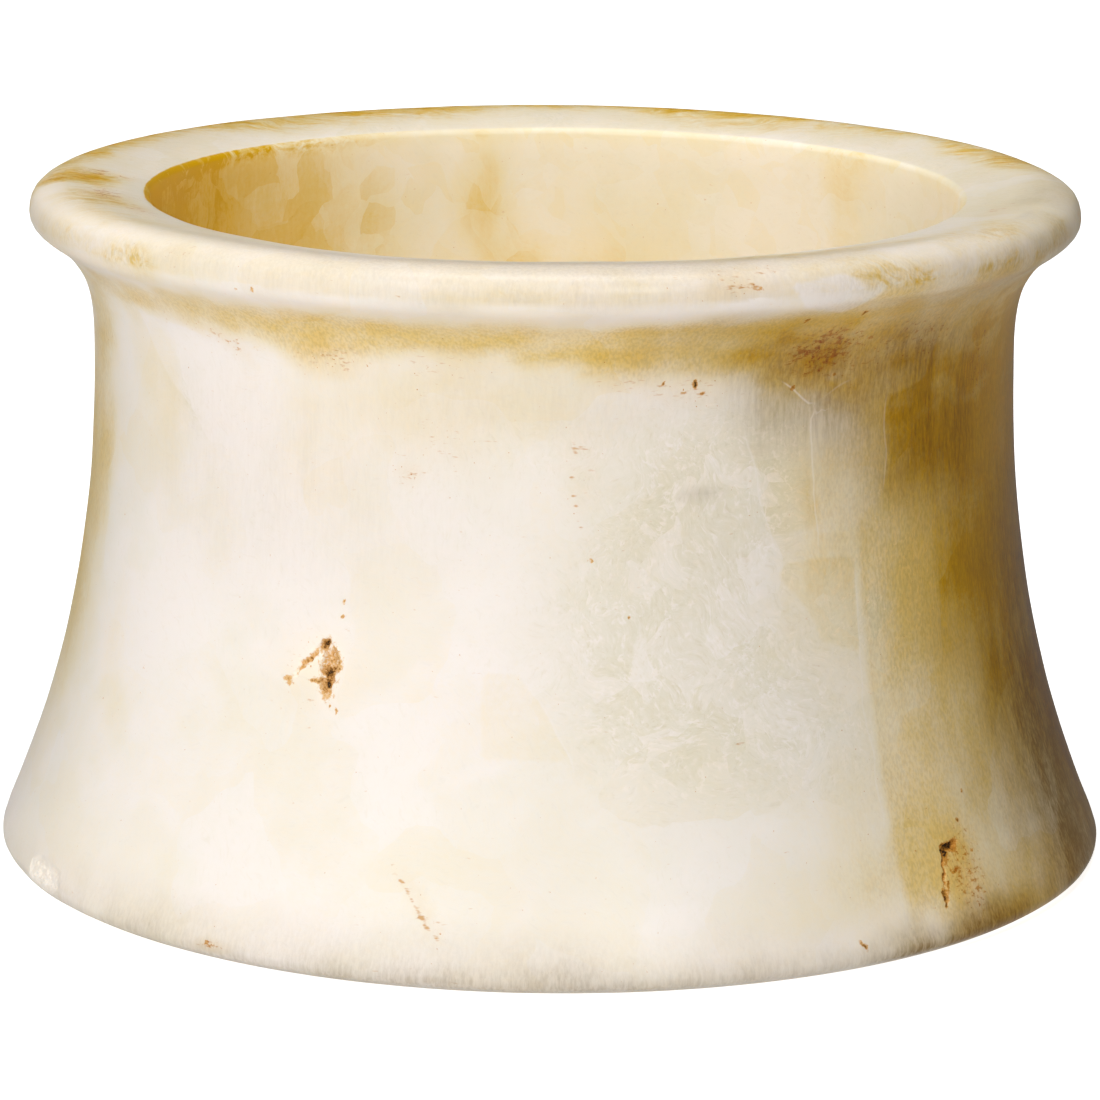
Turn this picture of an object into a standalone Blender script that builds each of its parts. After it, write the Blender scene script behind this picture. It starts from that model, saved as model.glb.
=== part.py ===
"""A squat, waisted vessel of banded calcite alabaster, carved and hollowed from one block.

Metres, +Z up. It stands on its flat underside, with the origin at the underside's centre. The side with the
two natural hollows is its front, and faces -Y. The outline is a turned one: heel, leaning flank, waist, neck
and a thick rounded rim, then down inside to a flat floor.
"""

import math
from collections import namedtuple

import bmesh
import bpy
from mathutils import Matrix, Vector
from mathutils.geometry import interpolate_bezier

# Overall sizes
HEIGHT = 0.0783
BASE_DIAMETER = 0.1300
WAIST_DIAMETER = 0.1067
RIM_DIAMETER = 0.1212

# Foot and flank: the wall leaves a small round heel leaning in, and is upright at the waist
HEEL_RADIUS = 0.0013
FLANK_LEAN = math.radians(23.8)
WAIST_BELOW_TOP = 0.0189

# Neck: where the waist's hollow turns into the rim's round, out from the waist, and how far it flares there
NECK_BELOW_TOP = 0.0093
NECK_OVERHANG = 0.0020
NECK_FLARE = math.radians(31.5)

# Rim: its widest ring, its crest, and the top that dips from the crest to the mouth
RIM_EDGE_BELOW_TOP = 0.0035
CREST_SETBACK = 0.0042
RIM_BREADTH = 0.0137
MOUTH_BELOW_CREST = 0.0016
MOUTH_DIP = math.radians(12)
LIP_RADIUS = 0.0009

# Inside: wall thicknesses at the waist and just above the floor, the floor and its rounded corner
WALL_AT_WAIST = 0.0058
WALL_AT_FOOT = 0.0172
FLOOR_THICKNESS = 0.0100
FLOOR_CORNER_RADIUS = 0.0100

# How far each curve's ends pull it along their own direction, as shares of its straight length
FLANK_PULLS = (0.25, 0.46)
NECK_PULLS = (0.68, 0.15)
ROUND_PULLS = (0.55, 0.30)
CREST_PULLS = (0.51, 0.38)
TOP_PULLS = (0.25, 0.30)
INSIDE_PULLS = (0.33, 0.33)

# Natural hollows and a chip in the wall: the angle of their middle from the front towards +X, its height, and
# their length over all
BROWN_HOLLOW_TURN = math.radians(-25.7)
BROWN_HOLLOW_HEIGHT = 0.0322
BROWN_HOLLOW_LENGTH = 0.0056
DARK_CRACK_TURN = math.radians(44.2)
DARK_CRACK_HEIGHT = 0.0074
DARK_CRACK_LENGTH = 0.0060
FOOT_CHIP_TURN = math.radians(-62.8)
FOOT_CHIP_HEIGHT = 0.0024
FOOT_CHIP_LENGTH = 0.0090

# The strokes that carve them, each an ellipsoid sunk into the wall. All but the twist are shares of the
# hollow's length: how far the stroke lies towards +X and up the wall from the hollow's middle, then its
# breadth, length and depth. Twist leans its upper end towards +X
Stroke = namedtuple("Stroke", "across up breadth length depth twist")
BROWN_HOLLOW_STROKES = (
    Stroke(0.0, 0.0, 0.38, 1.0, 0.18, 0.0),
    Stroke(-0.11, 0.50, 0.20, 0.36, 0.125, math.radians(30)),
    Stroke(-0.53, 0.25, 0.16, 1.04, 0.09, math.radians(51)),
)
DARK_CRACK_STROKES = (
    Stroke(0.0, 0.0, 0.15, 1.0, 0.18, math.radians(17)),
    Stroke(0.36, 0.48, 0.20, 0.70, 0.22, math.radians(80)),
)
FOOT_CHIP_STROKES = (Stroke(0.0, 0.0, 0.4, 1.0, 0.045, math.radians(90)),)

Hollow = namedtuple("Hollow", "name turn height length strokes")
HOLLOWS = (
    Hollow("brown_hollow", BROWN_HOLLOW_TURN, BROWN_HOLLOW_HEIGHT, BROWN_HOLLOW_LENGTH, BROWN_HOLLOW_STROKES),
    Hollow("dark_crack", DARK_CRACK_TURN, DARK_CRACK_HEIGHT, DARK_CRACK_LENGTH, DARK_CRACK_STROKES),
    Hollow("foot_chip", FOOT_CHIP_TURN, FOOT_CHIP_HEIGHT, FOOT_CHIP_LENGTH, FOOT_CHIP_STROKES),
)

# Colour of the polished stone, and how far light creeps in it
STONE_COLOUR = (0.86, 0.76, 0.58, 1)
STONE_GLOW_DEPTH = (0.006, 0.004, 0.0025)

# Facets round the vessel and along the stretches of its outline
ROUND_STEPS = 80
HEEL_STEPS = 5
FLANK_STEPS = 11
NECK_STEPS = 4
ROUND_OF_RIM_STEPS = 4
TOP_STEPS = 2
LIP_STEPS = 3
INSIDE_STEPS = 2
CORNER_STEPS = 5

OUT = Vector((1, 0, 0))
UP = Vector((0, 0, 1))


def clear_scene():
    for obj in list(bpy.data.objects):
        bpy.data.objects.remove(obj, do_unlink=True)


def at(radius, height):
    """A point of the outline, drawn in the XZ plane."""
    return Vector((radius, 0, height))


def leaning(angle):
    """The direction that climbs while leaning outward by this angle from upright."""
    return OUT * math.sin(angle) + UP * math.cos(angle)


def arc(centre, radius, first, last, steps):
    """Points round a centre from one angle to another, measured from outward towards up."""
    angles = (first + (last - first) * step / steps for step in range(steps + 1))
    return [centre + (OUT * math.cos(angle) + UP * math.sin(angle)) * radius for angle in angles]


def curve(start, start_way, end, end_way, pulls, steps):
    """A smooth stretch from start to end, without its two end points."""
    reach = (end - start).length
    start_handle = start + start_way * pulls[0] * reach
    end_handle = end - end_way * pulls[1] * reach
    return interpolate_bezier(start, start_handle, end_handle, end, steps + 1)[1:-1]


def outer_outline():
    """From the underside's centre out over the heel and up the wall to the rim's crest."""
    rim_radius = RIM_DIAMETER / 2
    heel_centre = at(BASE_DIAMETER / 2 - HEEL_RADIUS, HEEL_RADIUS)
    waist = at(WAIST_DIAMETER / 2, HEIGHT - WAIST_BELOW_TOP)
    neck = at(WAIST_DIAMETER / 2 + NECK_OVERHANG, HEIGHT - NECK_BELOW_TOP)
    rim_edge = at(rim_radius, HEIGHT - RIM_EDGE_BELOW_TOP)
    crest = at(rim_radius - CREST_SETBACK, HEIGHT)

    points = [at(0, 0)]
    points += arc(heel_centre, HEEL_RADIUS, math.radians(-90), FLANK_LEAN, HEEL_STEPS)
    points += curve(points[-1], leaning(-FLANK_LEAN), waist, UP, FLANK_PULLS, FLANK_STEPS)
    points.append(waist)
    points += curve(waist, UP, neck, leaning(NECK_FLARE), NECK_PULLS, NECK_STEPS)
    points.append(neck)
    points += curve(neck, leaning(NECK_FLARE), rim_edge, UP, ROUND_PULLS, ROUND_OF_RIM_STEPS)
    points.append(rim_edge)
    points += curve(rim_edge, UP, crest, -OUT, CREST_PULLS, ROUND_OF_RIM_STEPS)
    points.append(crest)
    return points


def inner_outline(crest):
    """From the crest in over the rim's top and the lip, down the inside and along the floor to its centre."""
    mouth_radius = RIM_DIAMETER / 2 - RIM_BREADTH
    lip_start = math.radians(90) + MOUTH_DIP
    lip_top_height = HEIGHT - MOUTH_BELOW_CREST
    lip_centre = at(mouth_radius + LIP_RADIUS, lip_top_height - LIP_RADIUS * math.sin(lip_start))
    lip = arc(lip_centre, LIP_RADIUS, lip_start, math.radians(180), LIP_STEPS)
    inner_waist = at(WAIST_DIAMETER / 2 - WALL_AT_WAIST, HEIGHT - WAIST_BELOW_TOP)
    foot_radius = BASE_DIAMETER / 2 - WALL_AT_FOOT
    corner_centre = at(foot_radius - FLOOR_CORNER_RADIUS, FLOOR_THICKNESS + FLOOR_CORNER_RADIUS)
    corner = arc(corner_centre, FLOOR_CORNER_RADIUS, 0, math.radians(-90), CORNER_STEPS)
    into_lip = -OUT * math.cos(MOUTH_DIP) - UP * math.sin(MOUTH_DIP)

    points = curve(crest, -OUT, lip[0], into_lip, TOP_PULLS, TOP_STEPS)
    points += lip
    points += curve(lip[-1], -UP, inner_waist, -UP, INSIDE_PULLS, INSIDE_STEPS)
    points.append(inner_waist)
    points += curve(inner_waist, -UP, corner[0], -UP, INSIDE_PULLS, INSIDE_STEPS)
    points += corner
    points.append(at(0, FLOOR_THICKNESS))
    return points


def turned_mesh(name, outline):
    """The outline spun once round +Z into a closed mesh."""
    build = bmesh.new()
    corners = [build.verts.new(point) for point in outline]
    edges = [build.edges.new(pair) for pair in zip(corners, corners[1:])]
    bmesh.ops.spin(
        build,
        geom=corners + edges,
        cent=(0, 0, 0),
        axis=UP,
        angle=math.tau,
        steps=ROUND_STEPS,
        use_merge=True,
        use_duplicate=False,
    )
    bmesh.ops.remove_doubles(build, verts=build.verts, dist=1e-6)
    bmesh.ops.recalc_face_normals(build, faces=build.faces)
    mesh = bpy.data.meshes.new(name)
    build.to_mesh(mesh)
    build.free()
    mesh.shade_smooth()
    mesh.set_sharp_from_angle(angle=math.radians(40))
    return mesh


def wall_at(outline, height):
    """The point of the outer wall at this height, and the direction straight out of it."""
    wall = outline[1:]
    for low, high in zip(wall, wall[1:]):
        if low.z <= height <= high.z:
            break
    along = (high - low).normalized()
    share = (height - low.z) / (high.z - low.z)
    return low.lerp(high, share), Vector((along.z, 0, -along.x))


def stroke_cutter(name, hollow, stroke, outline):
    """An ellipsoid centred on the wall's surface: its half that lies in the stone is cut away."""
    point, outward = wall_at(outline, hollow.height + stroke.up * hollow.length)
    round_wall = Vector((0, 1, 0))
    up_wall = outward.cross(round_wall)
    axes = Matrix((outward, round_wall, up_wall)).transposed().to_4x4()
    # The outline lies at +X, and the front at -Y
    turn = hollow.turn - math.radians(90) + stroke.across * hollow.length / point.x
    half_sizes = Vector((stroke.depth, stroke.breadth / 2, stroke.length / 2)) * hollow.length
    place = Matrix.Rotation(turn, 4, "Z") @ Matrix.Translation(point) @ axes
    shape = Matrix.Rotation(-stroke.twist, 4, "X") @ Matrix.Diagonal((*half_sizes, 1))
    build = bmesh.new()
    bmesh.ops.create_icosphere(build, subdivisions=2, radius=1)
    bmesh.ops.transform(build, matrix=place @ shape, verts=build.verts)
    bmesh.ops.recalc_face_normals(build, faces=build.faces)
    mesh = bpy.data.meshes.new(name)
    build.to_mesh(mesh)
    build.free()
    cutter = bpy.data.objects.new(name, mesh)
    cutter.hide_render = True
    cutter.display_type = "WIRE"
    bpy.context.scene.collection.objects.link(cutter)
    return cutter


def cut_hollow(vessel, hollow, outline):
    for count, stroke in enumerate(hollow.strokes, 1):
        cut = vessel.modifiers.new(f"{hollow.name}_{count}", "BOOLEAN")
        cut.operation = "DIFFERENCE"
        cut.solver = "EXACT"
        cut.object = stroke_cutter(cut.name, hollow, stroke, outline)


def alabaster():
    """Polished, faintly translucent cream stone."""
    material = bpy.data.materials.new("alabaster")
    material.use_nodes = True
    shader = material.node_tree.nodes["Principled BSDF"]
    shader.inputs["Base Color"].default_value = STONE_COLOUR
    shader.inputs["Roughness"].default_value = 0.32
    shader.inputs["Metallic"].default_value = 0.0
    shader.inputs["Subsurface Weight"].default_value = 0.3
    shader.inputs["Subsurface Radius"].default_value = STONE_GLOW_DEPTH
    material.diffuse_color = STONE_COLOUR
    return material


def make_vessel():
    outer = outer_outline()
    vessel = bpy.data.objects.new("vessel", turned_mesh("vessel", outer + inner_outline(outer[-1])))
    vessel.data.materials.append(alabaster())
    bpy.context.scene.collection.objects.link(vessel)
    for hollow in HOLLOWS:
        cut_hollow(vessel, hollow, outer)


def main():
    clear_scene()
    make_vessel()


main()
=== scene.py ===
"""Looks of the alabaster vessel: its carved surface as one mesh, the stone, the floor, the light, the camera.

The outline and the marks on the stone are given in millimetres and degrees, and the mesh is scaled to metres.
The front faces -Y. A turn is an angle round from the front towards +X.
"""

import math
from collections import namedtuple

import bmesh
import bpy
import numpy as np
from mathutils import Matrix, Vector, noise


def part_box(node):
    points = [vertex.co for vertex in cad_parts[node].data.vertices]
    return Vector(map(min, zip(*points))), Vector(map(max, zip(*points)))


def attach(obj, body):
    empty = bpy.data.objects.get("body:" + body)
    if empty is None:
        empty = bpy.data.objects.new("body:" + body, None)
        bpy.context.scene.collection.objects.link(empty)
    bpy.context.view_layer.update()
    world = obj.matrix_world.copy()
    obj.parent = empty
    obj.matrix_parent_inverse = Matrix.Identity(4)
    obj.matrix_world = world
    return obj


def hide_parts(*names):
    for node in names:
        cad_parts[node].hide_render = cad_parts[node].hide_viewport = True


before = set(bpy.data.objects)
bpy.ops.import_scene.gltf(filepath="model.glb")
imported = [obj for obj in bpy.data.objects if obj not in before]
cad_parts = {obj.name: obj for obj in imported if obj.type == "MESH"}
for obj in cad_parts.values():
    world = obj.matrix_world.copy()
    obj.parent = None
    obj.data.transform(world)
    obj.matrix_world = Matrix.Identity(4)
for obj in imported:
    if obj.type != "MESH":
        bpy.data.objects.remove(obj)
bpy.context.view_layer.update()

MM = 0.001

# Outline, from the frame and as the solid has it
solid_low, solid_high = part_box("vessel")
HEIGHT = (solid_high.z - solid_low.z) / MM
BASE_RADIUS = (solid_high.x - solid_low.x) / 2 / MM
WAIST_RADIUS = 53.35
RIM_RADIUS = 60.6
HEEL_RADIUS = 1.3
FLANK_LEAN = math.radians(23.8)
WAIST_BELOW_TOP = 18.9
NECK_BELOW_TOP = 9.3
NECK_OVERHANG = 2.0
NECK_FLARE = math.radians(31.5)
RIM_EDGE_BELOW_TOP = 3.5
CREST_SETBACK = 4.2
RIM_BREADTH = 13.7
MOUTH_BELOW_CREST = 1.6
MOUTH_DIP = math.radians(12)
LIP_RADIUS = 0.9
WALL_AT_WAIST = 5.8
WALL_AT_FOOT = 17.2
FLOOR_THICKNESS = 10.0
FLOOR_CORNER_RADIUS = 10.0

# Columns round the vessel, and how many smooth steps the outline has between two rows of points
COLUMNS = 360
FINER = 8

Stretch = namedtuple("Stretch", "name steps point")


def straight(start, end):
    return lambda share: start + (end - start) * share


def arc(centre, radius, first, last):
    """Round a centre from one angle to another, measured from outward towards up."""

    def point(share):
        angle = first + (last - first) * share
        return centre + radius * np.hstack((np.cos(angle), np.sin(angle)))

    return point


def bend(start, start_way, end, end_way, pulls):
    """A cubic curve whose ends pull along their own direction by shares of its straight length."""
    reach = np.linalg.norm(end - start)
    first = start + start_way * pulls[0] * reach
    last = end - end_way * pulls[1] * reach

    def point(share):
        left = 1 - share
        ends = left**3 * start + share**3 * end
        return ends + 3 * left**2 * share * first + 3 * left * share**2 * last

    return point


def leaning(angle):
    """The direction that climbs while leaning outward by this angle from upright."""
    return np.array((math.sin(angle), math.cos(angle)))


def stretches():
    """The outline's stretches in order, from the underside's centre round to the floor's centre."""
    outward = np.array((1.0, 0.0))
    upward = np.array((0.0, 1.0))
    quarter = math.radians(90)
    heel_centre = np.array((BASE_RADIUS - HEEL_RADIUS, HEEL_RADIUS))
    heel = arc(heel_centre, HEEL_RADIUS, -quarter, FLANK_LEAN)
    heel_top = heel(np.ones((1, 1)))[0]
    waist = np.array((WAIST_RADIUS, HEIGHT - WAIST_BELOW_TOP))
    neck = np.array((WAIST_RADIUS + NECK_OVERHANG, HEIGHT - NECK_BELOW_TOP))
    rim_edge = np.array((RIM_RADIUS, HEIGHT - RIM_EDGE_BELOW_TOP))
    crest = np.array((RIM_RADIUS - CREST_SETBACK, HEIGHT))
    mouth_radius = RIM_RADIUS - RIM_BREADTH
    lip_start = quarter + MOUTH_DIP
    lip_height = HEIGHT - MOUTH_BELOW_CREST - LIP_RADIUS * math.sin(lip_start)
    lip = arc(np.array((mouth_radius + LIP_RADIUS, lip_height)), LIP_RADIUS, lip_start, 2 * quarter)
    lip_top = lip(np.zeros((1, 1)))[0]
    lip_foot = lip(np.ones((1, 1)))[0]
    into_lip = np.array((-math.cos(MOUTH_DIP), -math.sin(MOUTH_DIP)))
    inner_waist = np.array((WAIST_RADIUS - WALL_AT_WAIST, waist[1]))
    corner_edge = np.array((BASE_RADIUS - WALL_AT_FOOT, FLOOR_THICKNESS))
    corner_centre = corner_edge + FLOOR_CORNER_RADIUS * (upward - outward)
    corner = arc(corner_centre, FLOOR_CORNER_RADIUS, 0, -quarter)
    corner_top = corner(np.zeros((1, 1)))[0]
    corner_foot = corner(np.ones((1, 1)))[0]
    return (
        Stretch("underside", 10, straight(np.zeros(2), np.array((heel_centre[0], 0.0)))),
        Stretch("heel", 8, heel),
        Stretch("flank", 66, bend(heel_top, leaning(-FLANK_LEAN), waist, upward, (0.25, 0.46))),
        Stretch("neck", 13, bend(waist, upward, neck, leaning(NECK_FLARE), (0.68, 0.15))),
        Stretch("round", 10, bend(neck, leaning(NECK_FLARE), rim_edge, upward, (0.55, 0.30))),
        Stretch("crest", 10, bend(rim_edge, upward, crest, -outward, (0.51, 0.38))),
        Stretch("top", 12, bend(crest, -outward, lip_top, into_lip, (0.25, 0.30))),
        Stretch("lip", 6, lip),
        Stretch("inside_neck", 12, bend(lip_foot, -upward, inner_waist, -upward, (0.33, 0.33))),
        Stretch("inside_wall", 28, bend(inner_waist, -upward, corner_top, -upward, (0.33, 0.33))),
        Stretch("corner", 10, corner),
        Stretch("floor", 12, straight(corner_foot, np.array((0.0, FLOOR_THICKNESS)))),
    )


def outline(finer):
    """The outline's points as rows of radius and height, with this many steps for each row of the mesh."""
    points = [np.zeros((1, 2))]
    for stretch in stretches():
        share = np.linspace(0, 1, stretch.steps * finer + 1)[1:, None]
        points.append(stretch.point(share))
    return np.vstack(points)


def row_of(name, end=False):
    """The row at which a stretch starts or ends."""
    row = 0
    for stretch in stretches():
        if stretch.name == name:
            return row + stretch.steps * end
        row += stretch.steps


# The stone's natural hollows and its bruise, each an ellipsoid sunk into the outer wall: the turn and height
# of its middle, its breadth, length and depth, and how far its upper end leans towards +X
Pit = namedtuple("Pit", "turn height breadth length depth lean")
PITS = (
    Pit(-25.7, 32.2, 2.0, 5.4, 0.8, 0),
    Pit(-26.4, 34.9, 1.1, 2.0, 0.7, 30),
    Pit(-28.7, 32.6, 0.8, 6.0, 0.4, 43),
    Pit(44.5, 8.4, 0.4, 4.4, 0.3, 16),
    Pit(43.8, 5.6, 0.6, 2.0, 0.3, 10),
    Pit(46.2, 10.6, 0.9, 3.6, 0.5, 84),
    Pit(-62.8, 2.4, 3.6, 9.0, 0.4, 90),
)

# Soft patches of colour on the stone: the turn and height of the middle, how far it reaches round and up, how
# far its upper end leans towards +X, and how strong it is. On the rim's top the radius stands for the height.
# First the dirt, then honey and olive, which also carry painted shade, then glassy stone and rust.
Patch = namedtuple("Patch", "turn height across up lean amount")
STAINS = (
    Patch(-26.5, 34.9, 0.6, 1.0, 20, 1.0),
    Patch(-25.6, 32.6, 1.9, 3.4, 0, 0.62),
    Patch(-25.8, 31.6, 0.7, 1.0, 0, 1.0),
    Patch(-25.8, 30.5, 0.9, 0.7, 0, 0.8),
    Patch(-25.8, 29.7, 1.2, 1.5, 0, 0.5),
    Patch(-28.6, 32.7, 0.55, 2.7, 43, 0.75),
    Patch(-30.8, 30.4, 0.9, 0.8, 0, 0.6),
    Patch(-27.3, 30.8, 1.3, 0.45, 0, 0.75),
    Patch(-24.7, 33.1, 0.35, 1.6, -12, 0.6),
    Patch(-25.2, 28.3, 0.3, 0.4, 0, 0.9),
    Patch(-24.4, 27.8, 0.3, 0.4, 0, 0.7),
    Patch(-24.3, 39.5, 0.3, 0.4, 0, 0.7),
    Patch(-24.4, 38.0, 0.3, 0.4, 0, 0.7),
    Patch(46.2, 10.7, 0.7, 2.2, 86, 1.0),
    Patch(45.2, 10.2, 0.7, 0.8, 0, 1.0),
    Patch(44.5, 8.6, 0.36, 2.2, 16, 1.0),
    Patch(44.6, 6.9, 0.4, 0.4, 0, 0.8),
    Patch(43.7, 5.7, 0.6, 1.0, 0, 1.0),
    Patch(43.5, 4.8, 0.4, 0.5, 0, 0.9),
    Patch(44.1, 6.2, 0.9, 1.4, 0, 0.4),
    Patch(45.1, 9.3, 0.7, 1.2, 0, 0.45),
    Patch(46.8, 10.0, 1.2, 0.8, 0, 0.45),
    Patch(45.9, 8.0, 1.0, 0.35, 0, 0.6),
    Patch(16.2, 64.4, 0.5, 0.5, 0, 1.0),
    Patch(17.2, 63.3, 0.35, 0.35, 0, 0.9),
    Patch(12.5, 64.6, 0.3, 0.35, 0, 0.9),
    Patch(48.4, 12.9, 0.4, 0.4, 0, 0.9),
    Patch(50.4, 15.7, 0.3, 0.5, 0, 0.7),
    Patch(41.2, 11.0, 0.3, 0.3, 0, 0.6),
    Patch(49.4, 9.6, 0.35, 0.35, 0, 0.7),
    Patch(41.9, 4.9, 0.3, 0.3, 0, 0.6),
    Patch(32.3, 2.8, 0.35, 1.0, -40, 0.8),
    Patch(-35.2, 1.9, 0.5, 0.35, 0, 0.8),
    Patch(4.5, 45.4, 0.35, 0.35, 0, 0.6),
    Patch(8.8, 39.1, 0.3, 0.3, 0, 0.6),
    Patch(-34.3, 73.8, 0.35, 0.35, 0, 0.6),
    Patch(-32.2, 74.1, 0.35, 0.35, 0, 0.6),
    Patch(21.0, 75.6, 0.5, 0.35, 0, 0.6),
    Patch(28.2, 71.1, 0.4, 0.4, 0, 0.9),
    Patch(35.6, 71.3, 0.4, 0.4, 0, 0.8),
    Patch(34.6, 64.0, 0.35, 0.4, 0, 0.8),
    Patch(28.8, 63.0, 0.35, 0.4, 0, 0.8),
)
# Most of these are the stone's own honey. Some are also laid on deeper or wider as painted shade: on the
# right flank from turn 50 to 90, where it turns from the light; at the right foot, where it meets the floor;
# and in the pale band just under the rim at turn -12.
HONEY_AND_SHADE_OUTSIDE = (
    Patch(-62, 69.5, 14, 3.4, 0, 0.45),
    Patch(-44, 69.9, 14, 3.4, 0, 0.45),
    Patch(-28, 69.8, 14, 3.9, 0, 0.46),
    Patch(-14, 69.8, 14, 4.0, 0, 0.42),
    Patch(0, 69.4, 14, 4.6, 0, 0.42),
    Patch(14, 69.0, 14, 5.6, 0, 0.66),
    Patch(28, 68.2, 13, 7, 0, 0.76),
    Patch(-72, 64, 10, 7, 0, 0.25),
    Patch(40, 66.5, 14, 8, 0, 0.6),
    Patch(50, 61, 15, 15, 0, 0.52),
    Patch(33, 44, 9, 20, 0, 0.17),
    Patch(44, 9, 10, 10, 0, 0.2),
    Patch(37, 13, 13, 14, 0, 0.24),
    Patch(-12, 62, 26, 6, 0, 0.16),
    Patch(31, 62.5, 9, 4, 0, 0.22),
    Patch(-27, 68.5, 13, 3.4, 0, 0.25),
    Patch(44, 71.5, 22, 4, 0, 0.5),
    Patch(-72, 56, 8, 18, 0, 0.25),
    Patch(50, 1, 16, 3, 0, 0.4),
    Patch(60, 2, 20, 8, 0, 0.34),
    Patch(-26, 66.5, 8, 3, 0, 0.25),
    Patch(-55, 60, 6, 12, -12, 0.2),
    Patch(-82, 42, 14, 36, 0, 0.46),
    Patch(80, 58, 20, 36, 0, 0.8),
    Patch(-60, 28, 7, 12, 0, 0.12),
    Patch(-29, 54.5, 7, 8, 0, 0.1),
    Patch(-10, 28, 9, 9, 0, 0.08),
    Patch(86, 44, 54, 60, 0, 0.85),
    Patch(64, 56, 16, 20, 0, 0.45),
    Patch(52, 48, 12, 20, 8, 0.3),
    Patch(68, 32, 11, 20, 8, 0.2),
    Patch(38, 52, 8, 14, 0, 0.15),
    Patch(32, 66.5, 5.5, 4, 0, 0.3),
    Patch(63, 61, 3.5, 13, 0, 0.45),
    Patch(66, 58, 9, 16, 0, 0.4),
    Patch(86, 20, 14, 26, 0, 0.9),
    Patch(45, 7, 5, 8, 0, 0.2),
    Patch(30, 8, 12, 5, 0, 0.12),
    Patch(135, 25, 26, 22, 30, 0.5),
    Patch(-150, 50, 30, 26, -20, 0.4),
    Patch(-105, 20, 20, 18, 20, 0.35),
    Patch(180, 68, 60, 5, 0, 0.5),
    Patch(-110, 69, 40, 4, 0, 0.5),
)
HONEY_RIM = (
    Patch(36, 75, 13, 4, 0, 0.36),
    Patch(66, 74, 18, 4, 0, 0.3),
    Patch(-88, 73, 12, 6, 0, 0.3),
    Patch(6, 75, 26, 3, 0, 0.12),
    Patch(-66, 74, 14, 5, 0, 0.2),
    Patch(-52, 74.5, 9, 4, 0, 0.3),
    Patch(56, 72, 14, 4, 0, 0.45),
    Patch(44, 72, 24, 3.5, 0, 0.45),
    Patch(-18, 71.5, 30, 2, 0, 0.2),
    Patch(96, 73, 22, 6, 0, 0.3),
    Patch(180, 76, 90, 4, 0, 0.35),
)
# Olive patches darken the stone, mostly as painted shade: round the foot where it meets the floor, on the
# right flank that turns from the light, under the rim, and on the rim and its top. The rest is the stone's
# own olive tone.
OLIVE_AND_SHADE_TOP = (Patch(0, 57, 62, 6, 0, 0.28), Patch(82, 58, 14, 6, 0, 0.24), Patch(-140, 57, 60, 8, 0, 0.12))
OLIVE_AND_SHADE_OUTSIDE = (
    Patch(88, 16, 40, 60, 0, 0.95),
    Patch(72, 6, 11, 18, 0, 0.75),
    Patch(50, 60, 20, 18, 0, 0.5),
    Patch(30, 63, 12, 9, 0, 0.5),
    Patch(0, 63, 26, 6, 0, 0.1),
    Patch(62, 1, 26, 7, 0, 0.25),
    Patch(46, -0.5, 16, 5.5, 0, 1.0),
    Patch(74, 1, 12, 7, 0, 0.4),
    Patch(-34, 52, 30, 18, 0, 0.1),
    Patch(92, 8, 18, 14, 0, 0.7),
    Patch(0, 0, 110, 3, 0, 0.3),
    Patch(-20, 0, 80, 8, 0, 0.22),
    Patch(0, 77, 90, 4, 0, 0.2),
    Patch(20, 68.5, 16, 5, 0, 0.3),
    Patch(66, 74, 16, 5, 0, 0.35),
    Patch(-70, 73, 14, 5, 0, 0.12),
    Patch(60, 40, 9, 28, 0, 0.2),
    Patch(57, 52, 6, 10, 0, 0.2),
    Patch(46, 65, 8, 5, 0, 0.35),
    Patch(36, 59, 6, 5, 0, 0.2),
    Patch(32, 66.5, 5.5, 4, 0, 0.25),
    Patch(17.9, 52.1, 1.8, 1.3, 0, 0.3),
    Patch(50, 54, 7, 8, 0, 0.25),
    Patch(140, 40, 26, 30, 20, 0.3),
    Patch(-140, 20, 26, 16, 0, 0.25),
)
GLASSY_OUTSIDE = (
    Patch(20, 52, 18, 14, 20, 0.7),
    Patch(15, 34, 24, 22, 0, 0.72),
    Patch(32, 27, 14, 17, 0, 0.5),
    Patch(-4, 58, 20, 8, 0, 0.4),
    Patch(47, 45, 14, 24, 0, 0.7),
    Patch(55, 22, 14, 18, 0, 0.3),
    Patch(-48, 60, 8, 6, 40, 0.5),
    Patch(75, 40, 16, 40, 0, 0.7),
    Patch(130, 50, 40, 26, 0, 0.7),
    Patch(-170, 25, 40, 24, 0, 0.7),
    Patch(-115, 48, 30, 26, 0, 0.6),
)
RUST_OUTSIDE = (
    Patch(-26, 66.2, 7, 2.6, 0, 0.5),
    Patch(-45, 67.5, 12, 1.2, 8, 0.35),
    Patch(-40, 66, 5, 1.2, 30, 0.4),
    Patch(-12, 66.5, 6, 3.5, 0, 0.35),
    Patch(31.5, 67, 6.5, 4.5, 0, 0.95),
    Patch(38, 67, 6, 5, 0, 0.5),
    Patch(16, 63.5, 7, 2.4, 0, 0.5),
    Patch(8, 65, 5, 1.8, 0, 0.35),
    Patch(48, 67, 8, 5, 0, 0.5),
    Patch(19, 75.6, 7, 1.2, 0, 0.6),
    Patch(31.5, 66.8, 1.2, 1, 0, 0.8),
    Patch(-14, 58, 8, 5, 0, 0.25),
    Patch(-17, 54, 2.2, 1.4, 0, 0.5),
    Patch(-28, 31, 7, 6, 0, 0.3),
    Patch(-13.5, 8.5, 1.4, 6, -32, 0.5),
    Patch(47.5, 7.5, 5, 7, 0, 0.75),
    Patch(-35, 1.7, 3, 1, 0, 0.7),
    Patch(3, 55, 3, 8, 0, 0.25),
    Patch(62, 62, 8, 8, 0, 0.5),
)
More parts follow.
